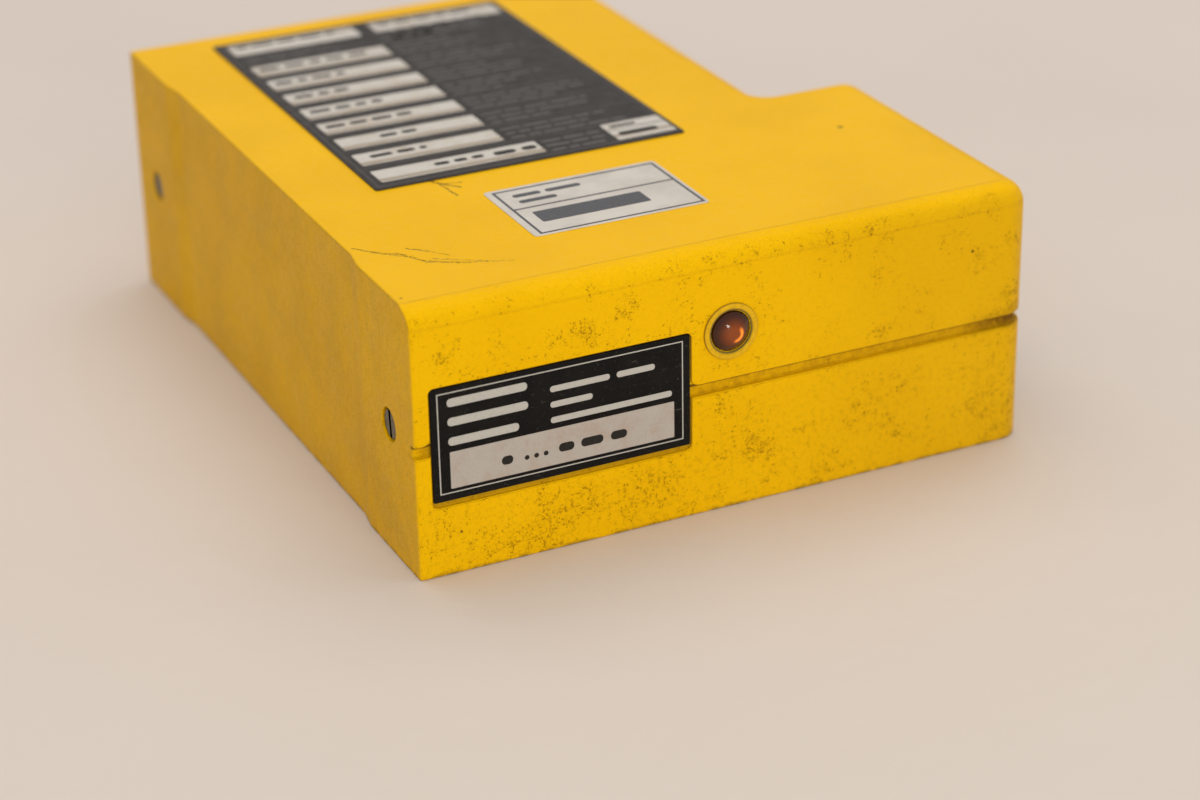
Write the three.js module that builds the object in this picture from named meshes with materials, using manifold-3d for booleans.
// Industrial single-beam light-barrier unit: a cast L-shaped hood over a flat chassis plate.
// Millimetres, +Z up. The front of the wide head faces -Y and the beam window faces +X.
// Pieces are laid out from the hood's lower front-left corner; the last group moves the
// origin to the centre of the underside.
import * as THREE from 'three';
import { mergeVertices } from 'three/addons/utils/BufferGeometryUtils.js';
import Module from 'manifold-3d';

const wasm = await Module();
wasm.setup();

// ---------------------------------------------------------------- driving dimensions
const HEIGHT = 62;
const HEAD_WIDTH = 148.6;
const HEAD_DEPTH = 79.7;
const BODY_WIDTH = 123.2;
const DEPTH = 181;
const WALL = 4;
const EDGE_ROUND = 5.6;
const CORNER_ROUND = 6;
const INNER_FILLET = 3;

// raised pads on the flat left side
const PAD_PROUD = 1;
const PAD_LENGTH = 28;
const PAD_SCREW_INSET = 14;
const PAD_SCREW_Z = 30.8;
const SCREW_SEAT_X = 2;

// groove across the front and round its right corner
const GROOVE_LOW = 28.5;
const GROOVE_HIGH = 31.2;
const GROOVE_DEPTH = 1.2;
const GROOVE_END_Y = 12;

// plates and sticker, each by its low corner and its size
const RATING_PLATE = { x: 18, y: 63.9, width: 76.9, length: 109.2, thick: 0.4 };
const ID_STICKER = { x: 38.2, y: 23.5, width: 42, length: 28, thick: 0.2 };
const RANGE_PLATE = { x: 2.94, z: 17.36, width: 60.06, height: 26.14, thick: 0.6 };
const RECESS_DEPTH = 0.8;
const RECESS_MARGIN = 0.34;
const RECESS_BELOW = 1.2;

// indicator lamp in the front wall
const LAMP_X = 72.65;
const LAMP_Z = 42.3;
const LAMP_BORE = 4.7;
const LAMP_RING = 6.5;
const LAMP_RING_THICK = 0.5;

// beam window in the head's right wall, and the optics on the same axis
const BEAM_Y = 40;
const BEAM_Z = 31;
const WINDOW_OPENING = 17;
const WINDOW_SEAT = 18.8;
const WINDOW_SEAT_DEPTH = 2.5;
const GLASS_THICK = 2;
const BEZEL = { length: 46, height: 40, thick: 2, corner: 4, hole: 16.6 };
const BEZEL_SCREW = { y: 19, z: 16, head: 2.4, headDepth: 1.3, shank: 1.3, reach: 3.6 };
const TUBE_BACK_X = 97;
const TUBE_LENGTH = 43;
const TUBE_OUTER = 19.5;
const TUBE_INNER = 16.2;
const LENS_SEAT = 18;
const LENS_SEAT_DEPTH = 7;
const RUNNING_GAP = 0.3;

// cable gland in the far wall
const GLAND_X = 61;
const GLAND_Z = 31;
const GLAND_THREAD = 10;
const GLAND_BORE = 5;
const GLAND_HEX = 13.8;

// chassis
const PLATE_THICK = 2.5;
const PLATE_HOLES = [[14, 66], [128, 66], [58, 12], [66, 160]];
const PLATE_HOLE_RADIUS = 2.25;
const REBATE = 2;
const REBATE_HEIGHT = 3.5;
const GASKET_WIDTH = 2;
const BOARD = { x: 18, y: 84, width: 96, length: 68, z: 10, thick: 1.6 };
const BOARD_TOP = BOARD.z + BOARD.thick;

const FINE = 32;
const MEDIUM = 24;
const COARSE = 16;
const SMALL = 12;

// ---------------------------------------------------------------- solid helpers
function weld(geometry) {
  const copy = geometry.clone();
  copy.deleteAttribute('normal');
  copy.deleteAttribute('uv');
  return mergeVertices(copy, 1e-4);
}

function signedVolume(geometry) {
  const p = geometry.attributes.position;
  const index = geometry.index.array;
  const a = new THREE.Vector3();
  const b = new THREE.Vector3();
  const c = new THREE.Vector3();
  let total = 0;
  for (let i = 0; i < index.length; i += 3) {
    a.fromBufferAttribute(p, index[i]);
    b.fromBufferAttribute(p, index[i + 1]);
    c.fromBufferAttribute(p, index[i + 2]);
    total += a.dot(b.cross(c)) / 6;
  }
  return total;
}

// welded copy whose triangles face outwards
function outward(geometry) {
  const welded = weld(geometry);
  if (signedVolume(welded) < 0) {
    const index = welded.index.array;
    for (let i = 0; i < index.length; i += 3) {
      const first = index[i];
      index[i] = index[i + 1];
      index[i + 1] = first;
    }
  }
  return welded;
}

function toManifold(geometry) {
  const closed = outward(geometry);
  return new wasm.Manifold(new wasm.Mesh({
    numProp: 3,
    vertProperties: Float32Array.from(closed.attributes.position.array),
    triVerts: Uint32Array.from(closed.index.array),
  }));
}

function toGeometry(manifold) {
  const mesh = manifold.getMesh();
  const geometry = new THREE.BufferGeometry();
  geometry.setAttribute('position', new THREE.BufferAttribute(mesh.vertProperties, 3));
  geometry.setIndex(new THREE.BufferAttribute(mesh.triVerts, 1));
  return geometry;
}

function combine(first, others, operation) {
  let result = toManifold(first);
  for (const other of others) {
    result = result[operation](toManifold(other));
  }
  return toGeometry(result);
}

const cut = (first, ...others) => combine(first, others, 'subtract');
const join = (first, ...others) => combine(first, others, 'add');
const common = (first, ...others) => combine(first, others, 'intersect');

// ---------------------------------------------------------------- shape helpers
const at = (geometry, x, y, z) => geometry.clone().translate(x, y, z);
const alongX = (geometry) => geometry.clone().rotateY(Math.PI / 2);
const alongY = (geometry) => geometry.clone().rotateX(-Math.PI / 2);

// box from its two corners
function block(x0, x1, y0, y1, z0, z1) {
  const box = new THREE.BoxGeometry(x1 - x0, y1 - y0, z1 - z0);
  return box.translate((x0 + x1) / 2, (y0 + y1) / 2, (z0 + z1) / 2);
}

// cylinder standing on the origin along +Z
function rod(radius, length, segments = MEDIUM) {
  const cylinder = new THREE.CylinderGeometry(radius, radius, length, segments);
  return cylinder.rotateX(Math.PI / 2).translate(0, 0, length / 2);
}

// body of revolution about +Z from [radius, height] pairs
function turned(profile, segments = MEDIUM) {
  const points = profile.map(([radius, height]) => new THREE.Vector2(radius, height));
  return new THREE.LatheGeometry(points, segments).rotateX(Math.PI / 2);
}

// closed ring of rectangular section about +Z
function ring(inner, outer, low, high, segments = MEDIUM) {
  return turned([[inner, low], [outer, low], [outer, high], [inner, high], [inner, low]], segments);
}

// polygon of [x, y, corner radius] with every corner a right angle
function roundedShape(corners) {
  const shape = new THREE.Shape();
  const count = corners.length;
  for (let i = 0; i < count; i += 1) {
    const [x, y, radius] = corners[i];
    const here = new THREE.Vector2(x, y);
    const [backX, backY] = corners[(i + count - 1) % count];
    const [nextX, nextY] = corners[(i + 1) % count];
    const before = new THREE.Vector2(backX, backY).sub(here).normalize();
    const after = new THREE.Vector2(nextX, nextY).sub(here).normalize();
    const start = here.clone().addScaledVector(before, radius);
    if (i === 0) {
      shape.moveTo(start.x, start.y);
    } else {
      shape.lineTo(start.x, start.y);
    }
    if (radius > 0) {
      const centre = start.clone().addScaledVector(after, radius);
      const end = here.clone().addScaledVector(after, radius);
      const from = Math.atan2(start.y - centre.y, start.x - centre.x);
      const to = Math.atan2(end.y - centre.y, end.x - centre.x);
      shape.absarc(centre.x, centre.y, radius, from, to, before.cross(after) > 0);
    }
  }
  shape.closePath();
  return shape;
}

// flat sheet of a shape, from z = 0 to z = thick
function sheet(shape, thick, curveSegments = 4) {
  return new THREE.ExtrudeGeometry(shape, { depth: thick, bevelEnabled: false, curveSegments });
}

function roundedPlate(width, length, thick, radius, curveSegments = 4) {
  const corners = [
    [0, 0, radius],
    [width, 0, radius],
    [width, length, radius],
    [0, length, radius],
  ];
  return sheet(roundedShape(corners), thick, curveSegments);
}

// block with its top edges and upright edges eased, standing on z = 0, centred in x and y
function easedBlock(width, length, height, ease) {
  const corners = [
    [-width / 2, -length / 2, ease * 1.2],
    [width / 2, -length / 2, ease * 1.2],
    [width / 2, length / 2, ease * 1.2],
    [-width / 2, length / 2, ease * 1.2],
  ];
  const solid = new THREE.ExtrudeGeometry(roundedShape(corners), {
    depth: height,
    bevelEnabled: true,
    bevelThickness: ease,
    bevelSize: ease,
    bevelOffset: -ease,
    bevelSegments: 2,
    curveSegments: 2,
  }).translate(0, 0, -ease);
  return common(solid, block(-width, width, -length, length, 0, height));
}

// L-shaped outline, inset from the cast outline; the left and far sides can be pushed outwards
function outline(inset, overrun, convex, concave) {
  const left = inset - overrun;
  const far = DEPTH - inset + overrun;
  return [
    [left, inset, overrun > 0 ? 0 : convex],
    [HEAD_WIDTH - inset, inset, convex],
    [HEAD_WIDTH - inset, HEAD_DEPTH - inset, convex],
    [BODY_WIDTH - inset, HEAD_DEPTH - inset, concave],
    [BODY_WIDTH - inset, far, overrun > 0 ? 0 : convex],
    [left, far, overrun > 0 ? 0 : convex],
  ];
}

// L-shaped block whose top edge is rounded, reaching down past z = 0
function domedOutline(inset, overrun, convex, concave, top, round, segments) {
  return new THREE.ExtrudeGeometry(roundedShape(outline(inset, overrun, convex, concave)), {
    depth: top,
    bevelEnabled: true,
    bevelThickness: round,
    bevelSize: round,
    bevelOffset: -round,
    bevelSegments: segments,
    curveSegments: segments,
  }).translate(0, 0, -round);
}

// cheese-head screw with its underside at z = 0, head along +Z, shank along -Z and one slot
function slottedScrew(headRadius, headHeight, shankRadius, shankLength, slotWidth, slotDepth, segments) {
  const screw = turned([
    [0, -shankLength],
    [shankRadius * 0.8, -shankLength],
    [shankRadius, -shankLength + shankRadius * 0.3],
    [shankRadius, 0],
    [headRadius, 0],
    [headRadius, headHeight * 0.8],
    [headRadius * 0.92, headHeight],
    [0, headHeight],
  ], segments);
  const slot = block(-headRadius * 2, headRadius * 2, -slotWidth / 2, slotWidth / 2,
    headHeight - slotDepth, headHeight + 1);
  return cut(screw, slot);
}

function hexagon(circumradius, height) {
  return rod(circumradius, height, 6);
}

// ---------------------------------------------------------------- finishes
const finishes = {
  castYellow: { color: 0xe9ab12, roughness: 0.5, metalness: 0.0 },
  blackPlate: { color: 0x1b1f2b, roughness: 0.4, metalness: 0.1 },
  silverSticker: { color: 0xd8d6cf, roughness: 0.35, metalness: 0.3 },
  amberLens: { color: 0x8a3a12, roughness: 0.15, metalness: 0.0 },
  clearPlastic: { color: 0xe0d59a, roughness: 0.25, metalness: 0.0 },
  glass: { color: 0xcfd8d6, roughness: 0.05, metalness: 0.0 },
  darkGlass: { color: 0x3a2030, roughness: 0.08, metalness: 0.0 },
  blackRubber: { color: 0x1c1c1c, roughness: 0.9, metalness: 0.0 },
  blackPlastic: { color: 0x202224, roughness: 0.55, metalness: 0.0 },
  greyPlastic: { color: 0x8c8f92, roughness: 0.5, metalness: 0.0 },
  darkSteel: { color: 0x55534e, roughness: 0.4, metalness: 0.9 },
  zincSteel: { color: 0xb9b7ae, roughness: 0.35, metalness: 0.9 },
  aluminium: { color: 0xaeb0b2, roughness: 0.4, metalness: 0.9 },
  anodised: { color: 0x26282b, roughness: 0.45, metalness: 0.6 },
  brass: { color: 0xc49a4a, roughness: 0.35, metalness: 0.9 },
  greenBoard: { color: 0x23613a, roughness: 0.45, metalness: 0.0 },
  laminations: { color: 0x5d5a57, roughness: 0.6, metalness: 0.7 },
  windingTape: { color: 0xc2a53c, roughness: 0.6, metalness: 0.0 },
  blueSleeve: { color: 0x24407a, roughness: 0.4, metalness: 0.0 },
  creamPlastic: { color: 0xd9d2bd, roughness: 0.45, metalness: 0.0 },
  redLed: { color: 0xb02318, roughness: 0.2, metalness: 0.0 },
};

const assembly = new THREE.Group();

// adds one named piece, its geometry drawn about its own place (x, y, z)
function piece(name, geometry, finish, x, y, z) {
  const shell = outward(geometry).toNonIndexed();
  shell.computeVertexNormals();
  const mesh = new THREE.Mesh(shell, new THREE.MeshStandardMaterial(finishes[finish]));
  mesh.name = name;
  mesh.position.set(x, y, z);
  assembly.add(mesh);
}

// ---------------------------------------------------------------- hood: the cast housing
const OVERRUN = 30;
const padFar = DEPTH - PAD_LENGTH;

function housing() {
  const cast = domedOutline(0, OVERRUN, CORNER_ROUND, INNER_FILLET, HEIGHT, EDGE_ROUND, 6);
  const trimmed = common(cast, block(-PAD_PROUD, HEAD_WIDTH + 1, -1, DEPTH, 0, HEIGHT + 1));
  const relief = block(-PAD_PROUD - 1, 0, PAD_LENGTH, padFar, -1, HEIGHT + 1);
  const cavity = common(
    domedOutline(WALL, 0, EDGE_ROUND - WALL + 0.4, INNER_FILLET, HEIGHT - WALL, EDGE_ROUND - WALL, 3),
    block(0, HEAD_WIDTH, 0, DEPTH, -1, HEIGHT),
  );
  const rebate = at(sheet(roundedShape(outline(REBATE, 0, 6, INNER_FILLET)), REBATE_HEIGHT + 1), 0, 0, -1);

  // groove: everything outside the inset head outline, between two heights
  const core = sheet(roundedShape(outline(GROOVE_DEPTH, OVERRUN, CORNER_ROUND - GROOVE_DEPTH, INNER_FILLET)),
    GROOVE_HIGH - GROOVE_LOW + 2, 6);
  const band = block(-OVERRUN, HEAD_WIDTH + 5, -5, GROOVE_END_Y, GROOVE_LOW, GROOVE_HIGH);
  const groove = cut(band, at(core, 0, 0, GROOVE_LOW - 1));

  const recess = alongYFace(roundedPlate(
    RANGE_PLATE.width + 2 * RECESS_MARGIN,
    RANGE_PLATE.height + RECESS_MARGIN + RECESS_BELOW,
    RECESS_DEPTH + 5,
    1.5,
  ), RANGE_PLATE.x - RECESS_MARGIN, RECESS_DEPTH, RANGE_PLATE.z - RECESS_BELOW);

  const lampBore = at(alongY(rod(LAMP_BORE, WALL + 2)), LAMP_X, -1, LAMP_Z);

  const windowBore = at(alongX(rod(WINDOW_OPENING, WALL + 2, FINE)), HEAD_WIDTH - WALL - 1, BEAM_Y, BEAM_Z);
  const windowSeat = at(alongX(rod(WINDOW_SEAT, WINDOW_SEAT_DEPTH + 1, FINE)),
    HEAD_WIDTH - WINDOW_SEAT_DEPTH, BEAM_Y, BEAM_Z);
  const bezelHoles = bezelScrewPlaces().map(([y, z]) => at(
    alongX(rod(BEZEL_SCREW.shank + 0.2, WALL, SMALL)),
    HEAD_WIDTH - WALL + 0.6, y, z,
  ));

  const glandBore = at(alongY(rod(GLAND_THREAD + 0.2, WALL + 2)), GLAND_X, DEPTH - WALL - 1, GLAND_Z);

  const screwHoles = padScrewPlaces().flatMap((y) => [
    at(alongX(rod(3.8, PAD_PROUD + 1 + SCREW_SEAT_X)), -PAD_PROUD - 1, y, PAD_SCREW_Z),
    at(alongX(rod(2.2, WALL + 2, COARSE)), 0, y, PAD_SCREW_Z),
  ]);

  return cut(trimmed, relief, cavity, rebate, groove, recess, lampBore, windowBore, windowSeat,
    ...bezelHoles, glandBore, ...screwHoles);
}

// stands a sheet upright so that its face looks along -Y, its front at y = backY - thick
function alongYFace(geometry, x, backY, z) {
  return at(geometry.clone().rotateX(Math.PI / 2), x, backY, z);
}

function padScrewPlaces() {
  return [PAD_SCREW_INSET, DEPTH - PAD_SCREW_INSET];
}

function bezelScrewPlaces() {
  const { y, z } = BEZEL_SCREW;
  return [
    [BEAM_Y - y, BEAM_Z - z],
    [BEAM_Y + y, BEAM_Z - z],
    [BEAM_Y + y, BEAM_Z + z],
    [BEAM_Y - y, BEAM_Z + z],
  ];
}

piece('housing', housing(), 'castYellow', 0, 0, 0);

// ---------------------------------------------------------------- hood: plates and sticker
piece('rating_plate', roundedPlate(RATING_PLATE.width, RATING_PLATE.length, RATING_PLATE.thick, 0.8, 2),
  'blackPlate', RATING_PLATE.x, RATING_PLATE.y, HEIGHT);
piece('id_sticker', roundedPlate(ID_STICKER.width, ID_STICKER.length, ID_STICKER.thick, 1, 2),
  'silverSticker', ID_STICKER.x, ID_STICKER.y, HEIGHT);
piece('range_plate', alongYFace(
  roundedPlate(RANGE_PLATE.width, RANGE_PLATE.height, RANGE_PLATE.thick, 1.4, 3), 0, 0, 0,
), 'blackPlate', RANGE_PLATE.x, RECESS_DEPTH, RANGE_PLATE.z);

// ---------------------------------------------------------------- hood: lamp
const lampLens = alongY(turned([
  [0, 5],
  [LAMP_RING - 0.4, 5],
  [LAMP_RING - 0.4, WALL],
  [LAMP_BORE - 0.25, WALL],
  [LAMP_BORE - 0.25, -0.3],
  [LAMP_BORE - 0.6, -1],
  [3.2, -1.6],
  [1.7, -2],
  [0, -2.1],
]));
piece('lamp_lens', lampLens, 'amberLens', LAMP_X, 0, LAMP_Z);
piece('lamp_ring', alongY(ring(LAMP_BORE + 0.15, LAMP_RING, -LAMP_RING_THICK, 0)),
  'clearPlastic', LAMP_X, 0, LAMP_Z);

// ---------------------------------------------------------------- hood: beam window
const GLASS_RADIUS = WINDOW_SEAT - 0.2;
const SEAL_THICK = WINDOW_SEAT_DEPTH - GLASS_THICK;
piece('window_seal', alongX(ring(WINDOW_OPENING + 0.2, GLASS_RADIUS, 0, SEAL_THICK, FINE)),
  'blackRubber', HEAD_WIDTH - WINDOW_SEAT_DEPTH, BEAM_Y, BEAM_Z);
piece('window_glass', alongX(rod(GLASS_RADIUS, GLASS_THICK, FINE)), 'darkGlass',
  HEAD_WIDTH - GLASS_THICK, BEAM_Y, BEAM_Z);

function bezel() {
  const frame = roundedPlate(BEZEL.height, BEZEL.length, BEZEL.thick, BEZEL.corner);
  const upright = alongX(at(frame, -BEZEL.height / 2, -BEZEL.length / 2, 0));
  const headSeat = BEZEL.thick - BEZEL_SCREW.headDepth;
  const holes = bezelScrewPlaces().flatMap(([y, z]) => [
    at(alongX(rod(BEZEL_SCREW.shank + 0.2, 4, SMALL)), -1, y - BEAM_Y, z - BEAM_Z),
    at(alongX(rod(BEZEL_SCREW.head + 0.2, 4, SMALL)), headSeat, y - BEAM_Y, z - BEAM_Z),
  ]);
  const opening = at(alongX(rod(BEZEL.hole, 4, FINE)), -1, 0, 0);
  return cut(upright, opening, ...holes);
}

piece('window_bezel', bezel(), 'anodised', HEAD_WIDTH, BEAM_Y, BEAM_Z);

const bezelScrew = alongX(slottedScrew(
  BEZEL_SCREW.head, BEZEL_SCREW.headDepth, BEZEL_SCREW.shank, BEZEL_SCREW.reach, 0.7, 0.6, SMALL,
));
const bezelScrewX = HEAD_WIDTH + BEZEL.thick - BEZEL_SCREW.headDepth;
bezelScrewPlaces().forEach(([y, z], i) => {
  piece(`bezel_screw_${i + 1}`, bezelScrew, 'darkSteel', bezelScrewX, y, z);
});

// ---------------------------------------------------------------- hood: cable gland
const glandBody = alongY(join(
  ring(GLAND_BORE, GLAND_THREAD, -10.5, 0.5),
  cut(hexagon(GLAND_HEX, 5), at(rod(GLAND_BORE + 1, 7), 0, 0, -1)),
  ring(GLAND_BORE, GLAND_THREAD - 0.8, -1, 13),
));
piece('gland_body', glandBody, 'greyPlastic', GLAND_X, DEPTH, GLAND_Z);
const lockNut = alongY(cut(hexagon(GLAND_HEX, 4), at(rod(GLAND_THREAD + 0.2, 6), 0, 0, -1)));
piece('gland_locknut', lockNut, 'greyPlastic', GLAND_X, DEPTH - WALL - 4, GLAND_Z);
piece('gland_seal', alongY(ring(GLAND_BORE - 0.6, GLAND_THREAD - 1, 13, 16.4)), 'blackRubber',
  GLAND_X, DEPTH, GLAND_Z);

function domeNut() {
  const skin = turned([
    [GLAND_BORE + 0.8, 18.8],
    [8.6, 18.8],
    [10.8, 17.4],
    [12, 15.4],
    [12, 5.4],
    [GLAND_THREAD - 0.8 + RUNNING_GAP, 5.4],
    [GLAND_THREAD - 0.8 + RUNNING_GAP, 16.8],
    [GLAND_BORE + 0.8, 16.8],
    [GLAND_BORE + 0.8, 18.8],
  ]);
  const flats = [];
  for (let i = 0; i < 6; i += 1) {
    const angle = (i * Math.PI) / 3;
    const flat = block(11.3, 14, -7, 7, 4, 20);
    flats.push(flat.rotateZ(angle));
  }
  return alongY(cut(skin, ...flats));
}

piece('gland_nut', domeNut(), 'greyPlastic', GLAND_X, DEPTH, GLAND_Z);

// ---------------------------------------------------------------- captive side screws
const sideScrew = alongX(slottedScrew(3.5, 2.6, 2, 11, 1.1, 1.2, MEDIUM)).rotateY(Math.PI);
const sideNut = alongX(cut(hexagon(4.04, 3.2), at(rod(2.15, 6, COARSE), 0, 0, -1)));
[['near', padScrewPlaces()[0]], ['far', padScrewPlaces()[1]]].forEach(([end, y]) => {
  piece(`side_screw_${end}`, sideScrew, 'darkSteel', SCREW_SEAT_X, y, PAD_SCREW_Z);
  piece(`side_nut_${end}`, sideNut, 'zincSteel', 7.6, y, PAD_SCREW_Z);
});

// ---------------------------------------------------------------- base: plate, gasket and side tabs
const PLATE_INSET = REBATE + RUNNING_GAP;

piece('base_plate', cut(
  sheet(roundedShape(outline(PLATE_INSET, 0, 5.7, INNER_FILLET)), PLATE_THICK),
  ...PLATE_HOLES.map(([x, y]) => at(rod(PLATE_HOLE_RADIUS, PLATE_THICK + 2, COARSE), x, y, -1)),
), 'zincSteel', 0, 0, 0);
piece('base_gasket', cut(
  sheet(roundedShape(outline(PLATE_INSET, 0, 5.7, INNER_FILLET)), REBATE_HEIGHT - PLATE_THICK),
  at(sheet(roundedShape(outline(PLATE_INSET + GASKET_WIDTH, 0, 3.7, INNER_FILLET)), 4), 0, 0, -1),
), 'blackRubber', 0, 0, PLATE_THICK);

// angle bracket against the left wall with a slot that is open at the top
function sideTab() {
  const angle = join(block(0, 2.6, -6.5, 6.5, 0, 36), block(0, 14, -6.5, 6.5, 0, 2.5));
  const slotLow = PAD_SCREW_Z - PLATE_THICK;
  const slot = join(
    block(-1, 4, -2.3, 2.3, slotLow, 40),
    at(alongX(rod(2.3, 5, COARSE)), -1, 0, slotLow),
  );
  return cut(angle, slot);
}

const TAB_X = 4.7;
piece('side_tab_near', sideTab(), 'zincSteel', TAB_X, padScrewPlaces()[0], PLATE_THICK);
piece('side_tab_far', sideTab(), 'zincSteel', TAB_X, padScrewPlaces()[1], PLATE_THICK);

// ---------------------------------------------------------------- base: optics on the beam axis
const SEAT_H = TUBE_LENGTH - LENS_SEAT_DEPTH;
const lensTube = alongX(turned([
  [3.2, 0],
  [TUBE_OUTER, 0],
  [TUBE_OUTER, TUBE_LENGTH],
  [LENS_SEAT, TUBE_LENGTH],
  [LENS_SEAT, SEAT_H],
  [TUBE_INNER, SEAT_H],
  [TUBE_INNER, 2],
  [3.2, 2],
  [3.2, 0],
], FINE));
piece('lens_tube', lensTube, 'anodised', TUBE_BACK_X, BEAM_Y, BEAM_Z);

const LENS_RADIUS = LENS_SEAT - 0.2;
const LENS_EDGE = 2;
const lens = alongX(turned([
  [0, 0],
  [LENS_RADIUS, 0],
  [LENS_RADIUS, LENS_EDGE],
  [15.4, LENS_EDGE],
  [12.5, LENS_EDGE + 1.7],
  [8.8, LENS_EDGE + 3],
  [4.6, LENS_EDGE + 3.9],
  [0, LENS_EDGE + 4.2],
], FINE));
piece('beam_lens', lens, 'glass', TUBE_BACK_X + SEAT_H, BEAM_Y, BEAM_Z);
piece('lens_ring', alongX(ring(15.8, LENS_RADIUS, 0, 2.4, FINE)), 'anodised',
  TUBE_BACK_X + SEAT_H + LENS_EDGE, BEAM_Y, BEAM_Z);

const cradleBore = at(alongX(rod(TUBE_OUTER + RUNNING_GAP, 20, FINE)), -10, 0, BEAM_Z - PLATE_THICK);
const cradle = cut(block(-3, 3, -19, 19, 0, 20), cradleBore);
piece('tube_cradle_back', cradle, 'blackPlastic', TUBE_BACK_X + 8, BEAM_Y, PLATE_THICK);
piece('tube_cradle_front', cradle, 'blackPlastic', TUBE_BACK_X + 33, BEAM_Y, PLATE_THICK);

piece('emitter_board', block(-1.6, 0, -14, 14, -14, 14), 'greenBoard', TUBE_BACK_X, BEAM_Y, BEAM_Z);
const emitterCan = alongX(turned([
  [0, 0],
  [2.7, 0],
  [2.7, 3.4],
  [1.9, 4.4],
  [0, 4.9],
], COARSE));
piece('emitter_can', emitterCan, 'brass', TUBE_BACK_X, BEAM_Y, BEAM_Z);

// ---------------------------------------------------------------- base: indicator lamp carrier
const CARRIER_Y = 15.6;
const carrier = join(
  block(-8, 8, 0, 2, 0, LAMP_Z - PLATE_THICK + 8),
  block(-8, 8, 0, 14, 0, 2.5),
);
piece('lamp_bracket', carrier, 'zincSteel', LAMP_X, CARRIER_Y, PLATE_THICK);
piece('lamp_board', block(-7, 7, -1.6, 0, -7, 7), 'greenBoard', LAMP_X, CARRIER_Y, LAMP_Z);
const led = alongY(turned([
  [0, -8.4],
  [1.3, -8],
  [2.2, -7.1],
  [2.5, -6],
  [2.5, -1],
  [2.9, -1],
  [2.9, 0],
  [0, 0],
], COARSE));
piece('indicator_led', led, 'redLed', LAMP_X, CARRIER_Y - 1.6, LAMP_Z);

// ---------------------------------------------------------------- base: power board
const boardCorner = { x: BOARD.x + 4, y: BOARD.y + 4 };
const boardFar = { x: BOARD.x + BOARD.width - 4, y: BOARD.y + BOARD.length - 4 };
piece('power_board', block(0, BOARD.width, 0, BOARD.length, 0, BOARD.thick), 'greenBoard',
  BOARD.x, BOARD.y, BOARD.z);
[
  [boardCorner.x, boardCorner.y],
  [boardFar.x, boardCorner.y],
  [boardFar.x, boardFar.y],
  [boardCorner.x, boardFar.y],
].forEach(([x, y], i) => {
  piece(`standoff_${i + 1}`, hexagon(3, BOARD.z - PLATE_THICK), 'brass', x, y, PLATE_THICK);
});

// mains transformer: laminated frame round a wound centre leg
const CORE = { width: 42, depth: 18, height: 34, leg: 7 };
const windowHeight = CORE.height - 2 * CORE.leg;
const core = cut(
  block(-CORE.width / 2, CORE.width / 2, -CORE.depth / 2, CORE.depth / 2, 0, CORE.height),
  block(-CORE.width / 2 + CORE.leg, -CORE.leg, -CORE.depth, CORE.depth, CORE.leg, CORE.leg + windowHeight),
  block(CORE.leg, CORE.width / 2 - CORE.leg, -CORE.depth, CORE.depth, CORE.leg, CORE.leg + windowHeight),
);
const CORE_PLACE = [46, 106, BOARD_TOP];
piece('transformer_core', core, 'laminations', ...CORE_PLACE);
const winding = cut(
  easedBlock(CORE.width - 2 * CORE.leg - 0.8, CORE.depth + 13, windowHeight - 0.6, 1),
  block(-CORE.leg - 0.3, CORE.leg + 0.3, -CORE.depth / 2 - 0.3, CORE.depth / 2 + 0.3, -1, 40),
);
piece('transformer_winding', winding, 'windingTape',
  CORE_PLACE[0], CORE_PLACE[1], BOARD_TOP + CORE.leg + 0.3);

// electrolytic capacitor with a rolled groove
function capacitor(radius, height) {
  return turned([
    [0, 0],
    [radius - 0.6, 0],
    [radius, 0.6],
    [radius, 2],
    [radius - 0.5, 2.6],
    [radius, 3.2],
    [radius, height - 0.6],
    [radius - 0.6, height],
    [0, height],
  ], COARSE);
}

piece('capacitor_large', capacitor(6.5, 26), 'blueSleeve', 80, 114, BOARD_TOP);
piece('capacitor_small', capacitor(5, 20), 'blueSleeve', 95, 114, BOARD_TOP);
piece('relay', easedBlock(29, 13, 16, 0.7), 'blackPlastic', 88, 94, BOARD_TOP);

// screw terminal block with wire entries in its far side
const TERMINAL = { x: 66, y: 142, pitch: 10, count: 5, depth: 13, height: 15 };
function terminalPlaces() {
  return Array.from({ length: TERMINAL.count }, (_, i) => (i - (TERMINAL.count - 1) / 2) * TERMINAL.pitch);
}

function terminalBlock() {
  const width = TERMINAL.count * TERMINAL.pitch + 2;
  const body = block(-width / 2, width / 2, -TERMINAL.depth / 2, TERMINAL.depth / 2, 0, TERMINAL.height);
  const openings = terminalPlaces().flatMap((x) => [
    block(x - 3, x + 3, TERMINAL.depth / 2 - 5, TERMINAL.depth / 2 + 1, 3, 8),
    at(rod(3, 8, COARSE), x, 0, TERMINAL.height - 5),
  ]);
  return cut(body, ...openings);
}

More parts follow.
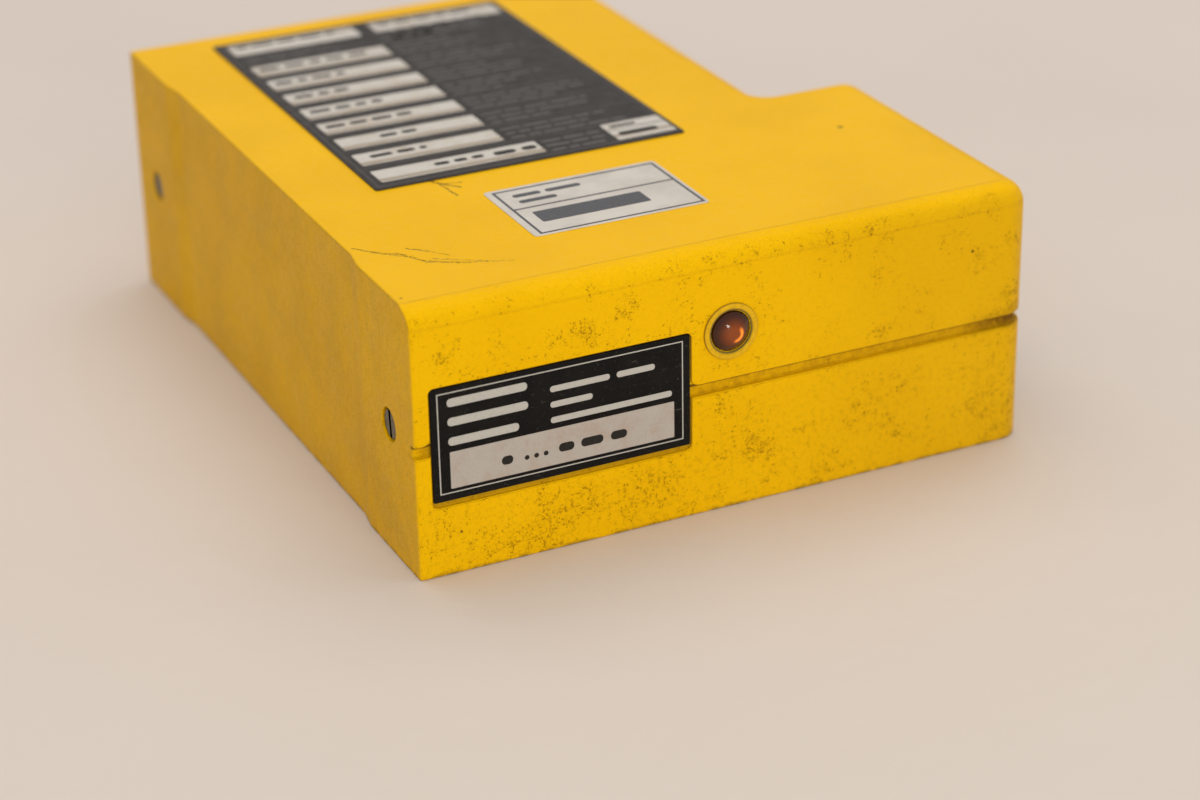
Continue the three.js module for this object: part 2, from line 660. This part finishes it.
piece('terminal_block', terminalBlock(), 'creamPlastic', TERMINAL.x, TERMINAL.y, BOARD_TOP);
const terminalScrew = cut(
  turned([[0, 0], [2.5, 0], [2.5, 1.6], [2.1, 2.2], [0, 2.2]], COARSE),
  block(-0.4, 0.4, -4, 4, 1.2, 4),
);
terminalPlaces().forEach((x, i) => {
  piece(`terminal_screw_${i + 1}`, terminalScrew, 'zincSteel',
    TERMINAL.x + x, TERMINAL.y, BOARD_TOP + TERMINAL.height - 5);
});

// fuse holder with a quarter-turn cap
const FUSE_PLACE = [106, 136];
const fuseHolder = turned([
  [0, 0],
  [6, 0],
  [6, 16],
  [4.2, 16],
  [4.2, 12],
  [0, 12],
]);
piece('fuse_holder', fuseHolder, 'blackPlastic', ...FUSE_PLACE, BOARD_TOP);
const fuseCap = cut(
  turned([
    [0, 0],
    [3.9, 0],
    [3.9, 3.8],
    [6.2, 3.8],
    [6.2, 7],
    [5.6, 7.8],
    [0, 7.8],
  ]),
  block(-0.6, 0.6, -4.5, 4.5, 6.2, 9),
);
piece('fuse_cap', fuseCap, 'blackPlastic', ...FUSE_PLACE, BOARD_TOP + 12 + RUNNING_GAP);

// sensitivity trimmer: square body with a slotted dial
const TRIMMER_PLACE = [28, 134];
const trimmerBody = cut(
  block(-6, 6, -6, 6, 0, 6),
  at(rod(4.3, 4), 0, 0, 3),
);
piece('trimmer_body', trimmerBody, 'blueSleeve', ...TRIMMER_PLACE, BOARD_TOP);
const trimmerDial = cut(
  turned([[0, 0], [4, 0], [4, 4.4], [3.5, 5], [0, 5]]),
  block(-0.6, 0.6, -1.2, 4.5, 3.6, 6),
);
piece('trimmer_dial', trimmerDial, 'creamPlastic', ...TRIMMER_PLACE, BOARD_TOP + 3 + RUNNING_GAP);

// earth screw on the chassis plate
piece('earth_screw', join(hexagon(4.2, 3), at(rod(5, 1), 0, 0, 0)), 'brass', 98, 165, PLATE_THICK);

// ---------------------------------------------------------------- origin under the middle
assembly.position.set(-HEAD_WIDTH / 2, -DEPTH / 2, 0);
const group = new THREE.Group();
group.add(assembly);
group.updateMatrixWorld(true);

export default group;
